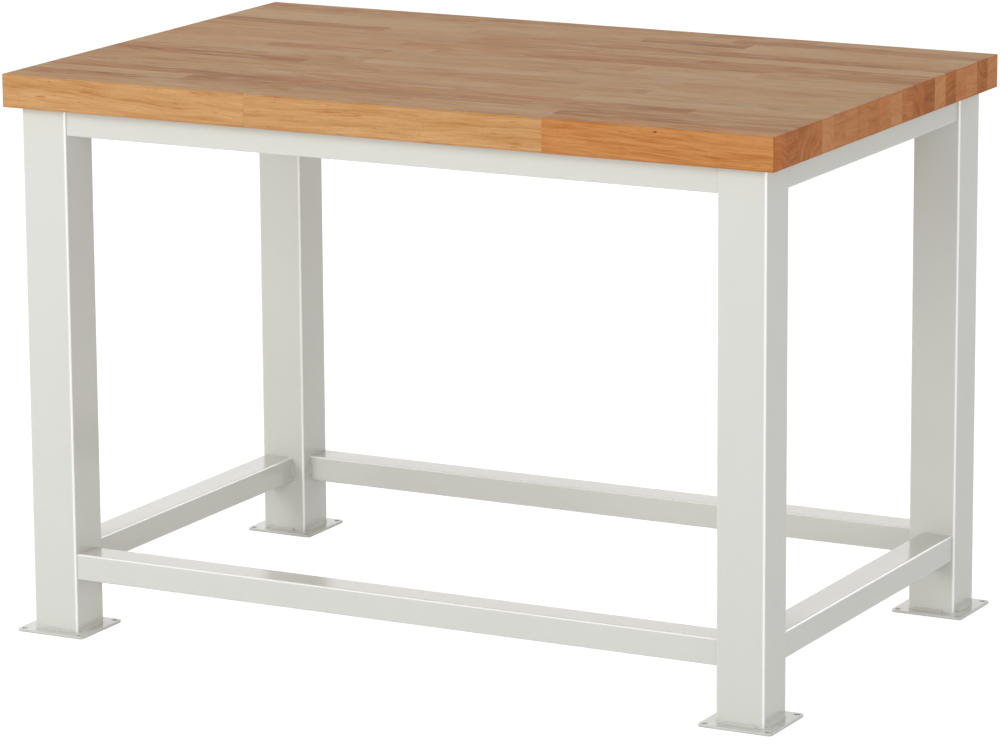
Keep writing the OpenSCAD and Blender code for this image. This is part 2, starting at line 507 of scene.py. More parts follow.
@dataclass(frozen=True)
class OiledBeech(Finish):
    """Planed and oiled beech, glued up from staves that each have their own tone and rings.

    A stave's faces carry its middle, its tone, redness and figure, the offset from its middle
    to the pith of its tree, and how the pith line leans. Faces of end grain, of the working
    face, of the upright sides, of broken edges and of glue lines are marked too.

    The layers sway, wave, broad, fibre, fleck and stain lie in the stave's own place, and
    band, streak and faded follow its rings: along the pith, out from it and round it.
    """

    name: str = "oiled_beech"
    pale: Colour = (0.600, 0.355, 0.162)
    usual: Colour = (0.500, 0.262, 0.100)
    deep: Colour = (0.395, 0.165, 0.040)
    dark: Colour = (0.225, 0.086, 0.028)
    stops: tuple[float, ...] = (0.0, 0.42, 0.72, 1.0)
    red: Colour = (0.535, 0.205, 0.050)
    end_colour: Colour = (1.02, 0.78, 0.68)
    resin: Colour = (0.37, 0.115, 0.026)
    glue_colour: Colour = (0.20, 0.095, 0.04)
    # Darker, greyer colour painted on the working face: painted shade and sheen.
    worn: Colour = (0.27, 0.24, 0.19)
    bleached: Colour = (0.51, 0.365, 0.225)
    knot_colour: Colour = (0.24, 0.040, 0.008)

    sway: Layer = Layer((3.0, 16.0, 16.0), 2.0)
    wave: Layer = Layer((12.0, 30.0, 30.0))
    broad: Layer = Layer((2.2, 30.0, 30.0), 2.0, share=0.50)
    band: Layer = Layer((7.0, 105.0, 30.0), 2.0, 0.6, 0.86)
    streak: Layer = Layer((15.0, 330.0, 90.0), 3.0, 0.66)
    fibre: Layer = Layer((38.0, 1500.0, 1500.0), 2.0, 0.6, 0.22)
    fleck: Layer = Layer((110.0, 800.0, 800.0), share=0.34, window=(0.60, 0.76))
    stain: Layer = Layer((24.0, 200.0, 200.0), share=0.6, window=(0.66, 0.78))
    faded: Layer = Layer((11.0, 62.0, 62.0), 2.0, share=0.62, window=(0.54, 0.70))

    stave_shift: float = 41.0
    ring_step: float = 0.0031
    ring_edge: float = 3.0
    level_sway: float = 0.014
    level_wave: float = 0.008
    upright_sway: float = 0.009
    upright_wave: float = 0.006
    middle_depth: float = 0.42
    tone_share: float = 0.30
    figure_share: float = 0.10
    figure_middle: float = 0.025
    redness_share: float = 0.6
    worn_share: float = 0.20
    end_arc_cut: float = 0.72
    end_streak_cut: float = 0.25
    end_ring_share: float = 0.28
    rim_from: float = 0.0215
    rim_full: float = 0.0243
    rim_share: float = 0.75
    rim_fade: float = 0.45
    arris_share: float = 0.75
    glue_share: float = 0.3

    roughness: float = 0.63
    roughness_play: float = 0.10
    end_roughness: float = 0.12
    sheen: float = 0.30
    relief_depth: float = 0.00006
    fibre_height: float = 0.5
    streak_height: float = 0.3
    fleck_height: float = 0.6
    knot_place: tuple[float, float, float] = (0.4445, -0.4, 0.8435)
    knot_shape: tuple[float, float, float] = (0.6, 1.0, 1.25)
    knot_size: float = 0.0029
    knot_heart: float = 0.25
    knot_push: float = 0.006

    def surface(self, graph: Graph) -> Wire:
        """Rings round each stave's pith, streaks and flecks along the grain, and end grain.

        Args:
            graph: The finish's graph.

        Returns:
            The shader.
        """
        place = graph.place()
        middle = graph.marked("stave_middle", "Vector")
        end_grain = graph.marked("end_grain")
        local = place - middle
        grain = local - graph.marked("pith_lean", "Vector") * local.axes()[0]
        own = grain + middle * self.stave_shift
        knot = self._knot(graph, place)
        growth, late = self._growth(graph, grain, own, knot, end_grain)
        growth = growth + middle * self.stave_shift
        streak, fibre = self.streak.at(growth), self.fibre.at(own)
        fleck, faded = self.fleck.at(own), self.faded.at(growth)

        tone, redness, figure = graph.marked("stave_look", "Vector").axes()
        depth = (
            self.middle_depth
            - tone * self.tone_share
            + (self.broad.at(own) - 0.5) * self.broad.share
            + (self.band.at(growth) - 0.5) * self.band.share
            + (streak - 0.5) * (self.streak.share - end_grain * self.end_streak_cut)
            + (fibre - 0.5) * self.fibre.share
            + figure * (late * self.figure_share - self.figure_middle)
        )
        stops = list(zip(self.stops, (self.pale, self.usual, self.deep, self.dark)))
        wood = graph.node("ShaderNodeValToRGB", {"stops": stops}, {"Fac": depth})
        wood = graph.mix(redness * self.redness_share, wood, wood * self._lifted(self.red))
        side_grain = 1.0 - end_grain
        wood = graph.mix(fleck * self.fleck.share * side_grain, wood, self.dark)
        wood = graph.mix(self.stain.at(own) * self.stain.share * side_grain, wood, self.resin)
        wood = graph.mix(end_grain, wood, wood * self.end_colour)
        wood = graph.mix(end_grain * late * self.end_ring_share, wood, self.resin)
        work_face = graph.marked("work_face")
        # Painted shade and sheen: the working face is darkened and greyed, more where the wood is
        # lighter.
        top_shade_and_sheen_mix = work_face * (self.worn_share - depth * self.worn_share)
        wood = graph.mix(top_shade_and_sheen_mix, wood, self.worn)
        wood = graph.mix(work_face * faded * self.faded.share, wood, self.bleached)
        height = local.axes()[2].apply("ABSOLUTE")
        rim = height.rise(self.rim_from, self.rim_full) * graph.marked("upright")
        wood = graph.mix(rim * (self.rim_share - faded * self.rim_fade), wood, self.resin)
        wood = graph.mix(graph.marked("arris") * self.arris_share, wood, self.resin)
        wood = graph.mix(knot, wood, self.knot_colour)
        wood = graph.mix(graph.marked("glue_line") * self.glue_share, wood, self.glue_colour)

        rough = self.roughness + (streak - 0.5) * self.roughness_play
        rough = rough + fleck * self.roughness_play + end_grain * self.end_roughness
        relief = fibre * self.fibre_height + streak * self.streak_height
        values = {
            "Base Color": wood,
            "Roughness": rough,
            "Normal": graph.relief(relief - fleck * self.fleck_height, self.relief_depth),
            "Specular IOR Level": self.sheen,
        }
        return graph.node("ShaderNodeBsdfPrincipled", {}, values)

    def _growth(
        self, graph: Graph, grain: Wire, own: Wire, knot: Wire, end_grain: Wire
    ) -> tuple[Wire, Wire]:
        """The place by the tree's growth, and how late in its year the wood there grew.

        Args:
            graph: The finish's graph.
            grain: The place from the stave's middle, with the pith's lean taken out.
            own: The same, moved to where no other stave's noise lies.
            knot: How near the place is to the knot, which pushes the rings aside.
            end_grain: 1 on end grain, where less is made of the way round the pith.

        Returns:
            A vector of the way along, out from and round the pith, and a number from 0 to 1.
        """
        along, level, upright = (grain - graph.marked("pith_offset", "Vector")).axes()
        sway, wave = self.sway.at(own) - 0.5, self.wave.at(own) - 0.5
        level = level + sway * self.level_sway + wave * self.level_wave
        upright = upright + sway * self.upright_sway + wave * self.upright_wave
        radius = (level * level + upright * upright).apply("SQRT") + knot * self.knot_push
        arc = graph.combine("ARCTAN2", upright, level) * radius
        arc = arc * (1.0 - end_grain * self.end_arc_cut)
        growth = graph.node("ShaderNodeCombineXYZ", {}, {"X": along, "Y": radius, "Z": arc})
        return growth, (radius / self.ring_step).apply("FRACT") ** self.ring_edge

    def _lifted(self, colour: Colour) -> Colour:
        """A tint that turns the usual colour into this one when they are multiplied."""
        return tuple(part / usual for part, usual in zip(colour, self.usual))

    def _knot(self, graph: Graph, place: Wire) -> Wire:
        """One small knot in the front edge.

        Args:
            graph: The finish's graph.
            place: The point on the piece, in the row frame.

        Returns:
            1 in the knot's heart, falling to 0 round it.
        """
        away = (place - self.knot_place) * self.knot_shape
        distance = graph.node("ShaderNodeVectorMath", {"operation": "LENGTH"}, {0: away}, "Value")
        return distance.rise(self.knot_size, self.knot_size * self.knot_heart)


@dataclass(frozen=True)
class ZincPlate(Finish):
    """Bright zinc plate, a little cloudy."""

    name: str = "bright_zinc"
    colour: Colour = (0.60, 0.62, 0.64)
    warm: Colour = (0.62, 0.60, 0.54)
    roughness: float = 0.26
    bloom_scale: float = 160.0
    bloom_detail: float = 3.0
    bloom_roughness: float = 0.14
    scratch: Layer = Layer((900.0, 120.0, 900.0), 2.0, share=0.06)
    scratch_depth: float = 0.00002

    def surface(self, graph: Graph) -> Wire:
        """Metal with a faint warm bloom and fine scratches.

        Args:
            graph: The finish's graph.

        Returns:
            The shader.
        """
        place = graph.place()
        bloom = graph.cloud(place, self.bloom_scale, self.bloom_detail)
        scratch = self.scratch.at(place)
        rough = self.roughness + bloom * self.bloom_roughness + scratch * self.scratch.share
        values = {
            "Base Color": graph.mix(bloom, self.colour, self.warm),
            "Metallic": 1.0,
            "Roughness": rough,
            "Normal": graph.relief(scratch, self.scratch_depth),
        }
        return graph.node("ShaderNodeBsdfPrincipled", {}, values)


# Meshes


class Workpiece:
    """A mesh on the bench: blocks and plates are added, shaped by bmesh operators, and kept."""

    # How the painted edge highlight narrows and lifts, how faint it is on edges turned away from
    # the light, and that light's way.
    EDGE_FALL: ClassVar[float] = 3.0
    EDGE_LIFT: ClassVar[float] = 1.4
    FAINT_EDGE: ClassVar[float] = 0.15
    LIT_WAY: ClassVar[Vector] = Vector((1, -1, 1))
    SAME_WAY: ClassVar[float] = 0.99
    CAP_FACING: ClassVar[float] = 0.9
    LEVEL_FACING: ClassVar[float] = 0.7
    RIM_STEPS: ClassVar[int] = 2
    CREASE: ClassVar[float] = math.radians(40)

    def __init__(self, numbers: Sequence[str] = (), vectors: Sequence[str] = ()) -> None:
        """Start with an empty mesh.

        Args:
            numbers: The attributes that its faces will carry as a number.
            vectors: Those that they will carry as a vector.
        """
        self.mesh = bmesh.new()
        self.edge_run = self.mesh.verts.layers.float.new("edge_run")
        for name in numbers:
            self.mesh.faces.layers.float.new(name)
        for name in vectors:
            self.mesh.faces.layers.float_vector.new(name)

    def block(self, low: Vector, high: Vector) -> set[bmesh.types.BMFace]:
        """Add a block between two corners.

        Args:
            low: Its lowest corner.
            high: Its highest corner.

        Returns:
            Its faces.
        """
        size = high - low
        placing = Matrix.Translation((low + high) / 2) @ Matrix.Diagonal((*size, 1.0))
        made = bmesh.ops.create_cube(self.mesh, size=1.0, matrix=placing)
        faces = {face for vert in made["verts"] for face in vert.link_faces}
        for face in faces:
            face.normal_update()
        return faces

    def bevel(
        self, edges: Iterable[bmesh.types.BMEdge], width: float, steps: int
    ) -> set[bmesh.types.BMFace]:
        """Round edges off.

        Args:
            edges: The edges.
            width: How far the rounding reaches from each edge.
            steps: How many faces the rounding has.

        Returns:
            The new faces.
        """
        made = bmesh.ops.bevel(
            self.mesh,
            geom=list(edges),
            offset=width,
            segments=steps,
            profile=0.5,
            affect="EDGES",
            material=-1,
        )
        return set(made["faces"])

    def tube(self, box: NodeBox, run: Vector, wall: float, corner: float, steps: int) -> None:
        """Add a rectangular tube that fills a box.

        Args:
            box: The room that it fills.
            run: The way that it runs.
            wall: The thickness of its wall.
            corner: The radius of its outer corners.
            steps: How many faces round each corner.
        """
        faces = self.block(box.low, box.high)
        edges = {edge for face in faces for edge in face.edges}
        along = [edge for edge in edges if self._runs_along(edge, run)]
        self.bevel(along, corner, steps)
        self._mark_edges(box, run, corner)
        self.mesh.normal_update()
        caps = [
            face for face in self.mesh.faces if abs(face.normal.dot(run)) > self.CAP_FACING
        ]
        bmesh.ops.inset_region(
            self.mesh, faces=caps, thickness=wall, use_even_offset=True, use_boundary=True
        )
        rims = list({edge for cap in caps for edge in cap.edges})
        bmesh.ops.delete(self.mesh, geom=caps, context="FACES_ONLY")
        bmesh.ops.bridge_loops(self.mesh, edges=rims)

    def _mark_edges(self, box: NodeBox, run: Vector, corner: float) -> None:
        """Write how near each point of a tube's rounded edges is to the middle of its edge, as the
        mask of a painted highlight.

        Edges that don't turn to where the light comes from get a fainter painted highlight.

        Args:
            box: The room that the tube fills.
            run: The way that it runs.
            corner: The radius of its outer corners.
        """
        flat = box.size / 2 - Vector((corner,) * 3)
        for vert in self.mesh.verts:
            away = vert.co - box.middle
            axes = [axis for axis in range(3) if not run[axis]]
            past = [max(0.0, abs(away[axis]) - flat[axis]) / corner for axis in axes]
            lit = all(away[axis] * self.LIT_WAY[axis] > 0 for axis in axes)
            ridge = min(1.0, self.EDGE_LIFT * (2.0 * past[0] * past[1]) ** self.EDGE_FALL)
            vert[self.edge_run] = ridge * (1.0 if lit else self.FAINT_EDGE)

    def _runs_along(self, edge: bmesh.types.BMEdge, run: Vector) -> bool:
        """Whether an edge runs in this direction."""
        way = edge.verts[1].co - edge.verts[0].co
        return abs(way.normalized().dot(run)) > self.SAME_WAY

    def cone(
        self, middle: Vector, low_radius: float, high_radius: float, height: float, steps: int
    ) -> list[bmesh.types.BMVert]:
        """Add an upright cone with closed ends.

        Args:
            middle: Its middle.
            low_radius: Its radius below.
            high_radius: Its radius above.
            height: Its height.
            steps: How many faces round it.

        Returns:
            Its points.
        """
        made = bmesh.ops.create_cone(
            self.mesh,
            cap_ends=True,
            segments=steps,
            radius1=low_radius,
            radius2=high_radius,
            depth=height,
            matrix=Matrix.Translation(middle),
        )
        return made["verts"]

    def ring(self, middle: Vector, radius: float, steps: int) -> None:
        """Add the edges of a level circle."""
        placing = Matrix.Translation(middle)
        bmesh.ops.create_circle(self.mesh, segments=steps, radius=radius, matrix=placing)

    def outline(
        self, middle: Vector, width: float, depth: float, corner: float, steps: int
    ) -> None:
        """Add the edges of a level rectangle with rounded corners.

        Args:
            middle: Its middle.
            width: Its size along X.
            depth: Its size along Y.
            corner: The radius of its corners.
            steps: How many edges round each corner.
        """
        placing = Matrix.Translation(middle) @ Matrix.Diagonal((width, depth, 1.0, 1.0))
        made = bmesh.ops.create_grid(
            self.mesh, x_segments=1, y_segments=1, size=0.5, matrix=placing
        )
        rounded = bmesh.ops.bevel(
            self.mesh,
            geom=made["verts"],
            offset=corner,
            segments=steps,
            profile=0.5,
            affect="VERTICES",
            material=-1,
        )
        face = rounded["verts"][0].link_faces[0]
        bmesh.ops.delete(self.mesh, geom=[face], context="FACES_ONLY")

    def fill_plate(self, thickness: float, break_width: float) -> None:
        """Fill the open outlines to a plate, holes left open, and break its rims.

        Args:
            thickness: The plate's thickness, down from the outlines.
            break_width: How much is taken off its rims.
        """
        edges = [edge for edge in self.mesh.edges if edge.is_wire]
        before = set(self.mesh.faces)
        bmesh.ops.triangle_fill(self.mesh, edges=edges, use_beauty=True, normal=Z_WAY)
        sheet = [face for face in self.mesh.faces if face not in before]
        bmesh.ops.solidify(self.mesh, geom=sheet, thickness=thickness)
        new = [face for face in self.mesh.faces if face not in before]
        bmesh.ops.recalc_face_normals(self.mesh, faces=new)
        edges = {edge for face in new for edge in face.edges}
        self.bevel([edge for edge in edges if self._is_rim(edge)], break_width, self.RIM_STEPS)

    def _is_rim(self, edge: bmesh.types.BMEdge) -> bool:
        """Whether an edge parts a level face from an upright one."""
        levels = [abs(face.normal.z) > self.LEVEL_FACING for face in edge.link_faces]
        return len(levels) == 2 and levels[0] != levels[1]

    def add_copy(self, other: bmesh.types.BMesh) -> None:
        """Add another mesh to this one and free it.

        Args:
            other: The mesh that is added.
        """
        passing = bpy.data.meshes.new("passing")
        other.to_mesh(passing)
        other.free()
        self.mesh.from_mesh(passing)
        bpy.data.meshes.remove(passing)

    def mark(
        self, name: str, faces: Iterable[bmesh.types.BMFace], value: Union[float, Vector]
    ) -> None:
        """Write an attribute on some faces.

        Args:
            name: The attribute, one of those that the mesh was started with.
            faces: The faces that get it.
            value: A number or a vector.
        """
        layers = self.mesh.faces.layers
        kind = layers.float_vector if isinstance(value, Vector) else layers.float
        layer = kind[name]
        for face in faces:
            face[layer] = value

    def finished(self, name: str, crease: float = CREASE) -> bpy.types.Object:
        """Turn the mesh into a piece of the bench.

        Args:
            name: The piece's name.
            crease: Edges that turn by more than this stay sharp.

        Returns:
            The piece, riding on the bench's one body.
        """
        bmesh.ops.recalc_face_normals(self.mesh, faces=self.mesh.faces)
        for face in self.mesh.faces:
            face.smooth = True
        for edge in self.mesh.edges:
            edge.smooth = edge.calc_face_angle(0.0) < crease
        data = bpy.data.meshes.new(name)
        self.mesh.to_mesh(data)
        self.mesh.free()
        piece = bpy.data.objects.new(name, data)
        bpy.context.scene.collection.objects.link(piece)
        shading = piece.modifiers.new("flats_stay_flat", "WEIGHTED_NORMAL")
        shading.keep_sharp = True
        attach(piece, BODY)
        return piece


Made = tuple[bpy.types.Object, Finish, Slot, tuple[str, ...]]


@dataclass
class SubAssembly:
    """A part of the bench that is made and dressed in one go."""

    made: list[Made] = field(default_factory=list, init=False)

    def keep(self, piece: bpy.types.Object, finish: Finish, slot: Slot, *nodes: str) -> None:
        """Note a built piece with its finish, its slot and the nodes that it stands for."""
        self.made.append((piece, finish, slot, nodes))

    def build(self) -> None:
        """Build the meshes. Each sub-assembly has its own."""
        raise NotImplementedError

    def dress(self) -> None:
        """Give each built piece its finish, hide the nodes that it stands for and log them."""
        for piece, finish, slot, nodes in self.made:
            piece.data.materials.clear()
            piece.data.materials.append(finish.material())
            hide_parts(*nodes)
            faces = len(piece.data.polygons)
            LOG.info("%s: %d faces, stands for %s", piece.name, faces, ", ".join(nodes))


@dataclass
class Tubes(SubAssembly):
    """Rectangular tubes, each of which fills its node's box."""

    finish: Finish = PowderCoat()
    wall: float = 0.003
    corner: float = 0.004
    corner_steps: int = 6

    def fit(self, node: str, run: Vector) -> None:
        """Build the tube of a node.

        Args:
            node: The node's name.
            run: The way that the tube runs.
        """
        work = Workpiece()
        work.tube(NodeBox.of(node), run, self.wall, self.corner, self.corner_steps)
        self.keep(work.finished(f"coated_{node}"), self.finish, Slot.POWDER_COAT, node)


@dataclass
class Legs(Tubes):
    """Four legs of square tube."""

    def build(self) -> None:
        """Build a tube in each leg's place."""
        for corner in Corner:
            self.fit(f"leg_{corner.word}", Z_WAY)


@dataclass
class Rails(Tubes):
    """A ring of rails under the worktop and another above the floor."""

    wall: float = 0.0025
    corner: float = 0.003
    corner_steps: int = 5

    def build(self) -> None:
        """Build a tube in each rail's place."""
        for level in Level:
            for side in Side:
                self.fit(f"{level.word}_rail_{side.word}", side.run)


@dataclass
class BasePlates(SubAssembly):
    """A drilled plate with rounded corners under each leg."""

    finish: Finish = PowderCoat()
    corner: float = 0.006
    corner_steps: int = 8
    hole_spacing: float = 0.098
    hole_radius: float = 0.0045
    hole_steps: int = 32
    break_width: float = 0.0006

    def build(self) -> None:
        """Build a plate in each base plate's place."""
        for corner in Corner:
            node = f"base_plate_{corner.word}"
            box = NodeBox.of(node)
            face = box.middle_at(box.high.z)
            work = Workpiece()
            work.outline(face, box.size.x, box.size.y, self.corner, self.corner_steps)
            for x in (-0.5, 0.5):
                for y in (-0.5, 0.5):
                    hole = face + Vector((x, y, 0)) * self.hole_spacing
                    work.ring(hole, self.hole_radius, self.hole_steps)
            work.fill_plate(box.size.z, self.break_width)
            self.keep(work.finished(f"coated_{node}"), self.finish, Slot.POWDER_COAT, node)


@dataclass(frozen=True)
class Seam:
    """A straight corner between two walls, where a bead of weld goes.

    The walls' outward ways say in which quarter round the seam the bead lies.
    """

    start: Vector
    end: Vector
    first_way: Vector
    second_way: Vector
    leg: float

    @property
    def length(self) -> float:
        """The seam's length."""
        return (self.end - self.start).length

    @property
    def along(self) -> Vector:
        """The way from its start to its end."""
        return (self.end - self.start).normalized()


@dataclass
class Welds(SubAssembly):
    """Short fillet beads by hand, rippled, under the powder coat, whose colour is darkened here as
    painted shade.

    A bead's shares are of its full cross-section, and its lead-in and lead-out of the end gap.
    """

    # A darker copy of the powder coat: painted shade, so that the beads' up-turned faces don't show
    # brighter than the plates.
    finish: Finish = PowderCoat(
        name="powder_coat_on_welds",
        colour=(0.56, 0.567, 0.53),
        roughness=0.40,
        peel_depth=0.00004,
    )
    base_leg: float = 0.0038
    rail_leg: float = 0.0030
    flatness: float = 0.8
    end_gap: float = 0.008
    lead_least: float = 0.8
    lead_in_most: float = 1.1
    lead_out_more: float = 0.045
    ripple_step: float = 0.0023
    ripple_height: float = 0.10
    ripple_lead: float = 0.8
    steps_per_ripple: int = 4
    least_steps: int = 12
    arc_steps: int = 6
    body: float = 0.86
    tip: float = 0.12
    thinnest: float = 0.10
    unsteadiness: float = 0.02
    dome_reach: float = 0.9
    crater: float = 0.22
    crater_reach: float = 2.2
    crater_place: float = 0.8
    crater_fall: float = 3.0
    crease: float = math.radians(60)

    def build(self) -> None:
        """Lay the beads of each weld node."""
        for corner in Corner:
            self._lay_node(f"base_welds_{corner.word}", self._base_seams(corner))
            for level in Level:
                node = f"{level.word}_rail_welds_{corner.word}"
                self._lay_node(node, self._rail_seams(corner, level))
        self._lay_node("fixing_tab_welds", self._tab_seams())

    def _lay_node(self, node: str, seams: list[Seam]) -> None:
        """Build one piece from the beads on some seams.

        Args:
            node: The weld node that the piece stands for.
            seams: The seams.
        """
        dice = random.Random(node)
        work = Workpiece()
        for seam in seams:
            work.add_copy(self._bead(seam, dice))
        piece = work.finished(f"beads_{node}", self.crease)
        self.keep(piece, self.finish, Slot.POWDER_COAT, node)

    def _base_seams(self, corner: Corner) -> list[Seam]:
        """The seams between a leg and its plate.

        Args:
            corner: The leg's corner of the bench.

        Returns:
            One seam for each face of the leg.
        """
        box = NodeBox.of(f"leg_{corner.word}")
        seams = []
        for side in Side:
            face = box.middle_at(box.low.z) + side.outward * box.size.dot(side.across) / 2
            half = side.run * box.size.x / 2
            seams.append(Seam(face - half, face + half, side.outward, Z_WAY, self.base_leg))
        return seams

    def _rail_seams(self, corner: Corner, level: Level) -> list[Seam]:
        """The inner and lower seams of both rails that meet a leg.

        Args:
            corner: The leg's corner of the bench.
            level: The ring that the rails are in.

        Returns:
            Two seams for each of the two rails.
        """
        leg = NodeBox.of(f"leg_{corner.word}")
        seams = []
        for side in (corner.long_side, corner.end_side):
            rail = NodeBox.of(f"{level.word}_rail_{side.word}")
            sign = corner.value[0] if side is corner.long_side else corner.value[1]
            inward = side.run * -sign
            meet = leg.middle.dot(side.run) - sign * leg.size.dot(side.run) / 2
            middle = rail.middle - side.run * rail.middle.dot(side.run) + side.run * meet
            half_across = side.across * rail.size.dot(side.across) / 2
            half_up = Z_WAY * rail.size.z / 2
            inner = middle - side.outward * half_across.length
            below = middle - half_up
            for at, half, way in ((inner, half_up, -side.outward), (below, half_across, -Z_WAY)):
                seams.append(Seam(at - half, at + half, way, inward, self.rail_leg))
        return seams

    def _tab_seams(self) -> list[Seam]:
        """The seams under the fixing tabs, where they stand on their rails.

        Returns:
            One seam for each tab.
        """
        seams = []
        for side in Side:
            rail = NodeBox.of(f"top_rail_{side.word}")
            inner = rail.middle - side.outward * rail.size.dot(side.across) / 2
            rail_face = side.across * inner.dot(side.across)
            for tab in islands(f"fixing_tabs_{side.word}"):
                at = rail_face + side.run * tab.middle.dot(side.run) + Z_WAY * tab.low.z
                half = side.run * tab.size.dot(side.run) / 2
                seams.append(Seam(at - half, at + half, -side.outward, -Z_WAY, self.rail_leg))
        return seams

    def _bead(self, seam: Seam, dice: random.Random) -> bmesh.types.BMesh:
        """Lay one bead on a seam.

        Args:
            seam: The corner that it fills.
            dice: Where its own length and start are drawn from.

        Returns:
            The bead as a closed mesh.
        """
        lead_in = self.end_gap * dice.uniform(self.lead_least, self.lead_in_most)
        lead_most = 1.0 + seam.length / self.lead_out_more
        lead_out = self.end_gap * dice.uniform(self.lead_least, lead_most)
        flip = dice.random() < 0.5
        along = -seam.along if flip else seam.along
        start = (seam.end if flip else seam.start) + along * lead_in
        run = seam.length - lead_in - lead_out
        steps = max(self.least_steps, round(run / self.ripple_step) * self.steps_per_ripple)
        bead = bmesh.new()
        profile = self._profile(bead, seam, start)
        size = self.tip
        self._resize(bead, profile, start, size)
        for step in range(1, steps + 1):
            wanted = self._swell(step / steps, run, seam.leg, dice)
            rim = start + along * (run * (step - 1) / steps)
            made = bmesh.ops.extrude_discrete_faces(bead, faces=[profile])
            profile = made["faces"][0]
            self._resize(bead, profile, rim, wanted / size)
            bmesh.ops.translate(bead, vec=along * run / steps, verts=profile.verts)
            size = wanted
        close_ends(bead)
        self._lean_ripples(bead, seam, along)
        return bead

    @staticmethod
    def _resize(
        bead: bmesh.types.BMesh, profile: bmesh.types.BMFace, root: Vector, ratio: float
    ) -> None:
        """Scale a cross-section about its root."""
        space = Matrix.Translation(-root)
        bmesh.ops.scale(bead, vec=(ratio,) * 3, space=space, verts=profile.verts)

    def _profile(
        self, bead: bmesh.types.BMesh, seam: Seam, start: Vector
    ) -> bmesh.types.BMFace:
        """Make the bead's full cross-section: between a quarter round and a flat fillet.

        Args:
            bead: The bead's mesh, still empty.
            seam: The corner that the bead fills.
            start: Where on the seam it starts.

        Returns:
            The cross-section's face.
        """
        root = bead.verts.new(start)
        toe = bead.verts.new(start + seam.first_way * seam.leg)
        bmesh.ops.spin(
            bead,
            geom=[toe],
            cent=start,
            axis=seam.first_way.cross(seam.second_way),
            dvec=(0, 0, 0),
            angle=math.pi / 2,
            steps=self.arc_steps,
        )
        arc = [vert for vert in bead.verts if vert is not root]
        last = max(arc, key=lambda vert: (vert.co - start).dot(seam.second_way))
        for vert in arc:
            away = (vert.co - start) / seam.leg
            reach = away.dot(seam.first_way) + away.dot(seam.second_way)
            vert.co = start + (vert.co - start) / reach**self.flatness
        bead.edges.new((root, toe))
        bead.edges.new((last, root))
        filled = bmesh.ops.contextual_create(bead, geom=bead.edges[:])
        return filled["faces"][0]

    def _swell(self, share: float, run: float, leg: float, dice: random.Random) -> float:
        """The bead's size at a place along it, against its full cross-section.

        Args:
            share: The place, as a share of the run.
            run: The bead's length.
            leg: How far its full cross-section reaches along each wall.
            dice: Where its unsteadiness is drawn from.

        Returns:
            The size, where 1 is the full cross-section.
        """
        travelled = share * run
        dome = leg * self.dome_reach
        left = min(travelled, run - travelled)
        rounding = math.sqrt(max(0.0, 1.0 - (1.0 - min(1.0, left / dome)) ** 2))
        ripple = abs(math.sin(math.pi * travelled / self.ripple_step)) * self.ripple_height
        past_crater = (run - travelled) / (self.crater_reach * leg) - self.crater_place
        crater = self.crater * math.exp(-(past_crater**2) * self.crater_fall)
        unsteady = dice.uniform(-self.unsteadiness, self.unsteadiness)
        return max(self.thinnest, rounding * (self.body + ripple + crater + unsteady))

    def _lean_ripples(self, bead: bmesh.types.BMesh, seam: Seam, along: Vector) -> None:
        """Carry the middle of the bead forward, so that its ripples are crescents.

        Args:
            bead: The bead.
            seam: The corner that it fills.
            along: The way that it was laid.
        """
        for vert in bead.verts:
            away = vert.co - seam.start
            first, second = away.dot(seam.first_way), away.dot(seam.second_way)
            spread = min(1.0, 2.0 * first * second / (seam.leg * seam.leg))
            vert.co += along * (spread * self.ripple_step * self.ripple_lead)


SAME_POINT = 0.00001


def close_ends(mesh: bmesh.types.BMesh) -> None:
    """Fill a mesh's open ends."""
    rims = [edge for edge in mesh.edges if edge.is_boundary]
    bmesh.ops.holes_fill(mesh, edges=rims, sides=0)


def islands(node: str) -> list[NodeBox]:
    """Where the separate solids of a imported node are.

    Args:
        node: The node's name.

    Returns:
        The box of each solid, from left to right.
    """
    merged = bmesh.new()
    merged.from_mesh(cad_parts[node].data)
    bmesh.ops.remove_doubles(merged, verts=merged.verts, dist=SAME_POINT)
    waiting = set(merged.verts)
    boxes = []
    while waiting:
        front = [waiting.pop()]
        found = list(front)
        while front:
            near = {edge.other_vert(vert) for vert in front for edge in vert.link_edges} & waiting
            waiting -= near
            front = list(near)
            found += front
        low, high = (
            Vector(pick(vert.co[axis] for vert in found) for axis in range(3))
            for pick in (min, max)
        )
        boxes.append(NodeBox(low, high))
    merged.free()
    return sorted(boxes, key=lambda box: tuple(box.low))


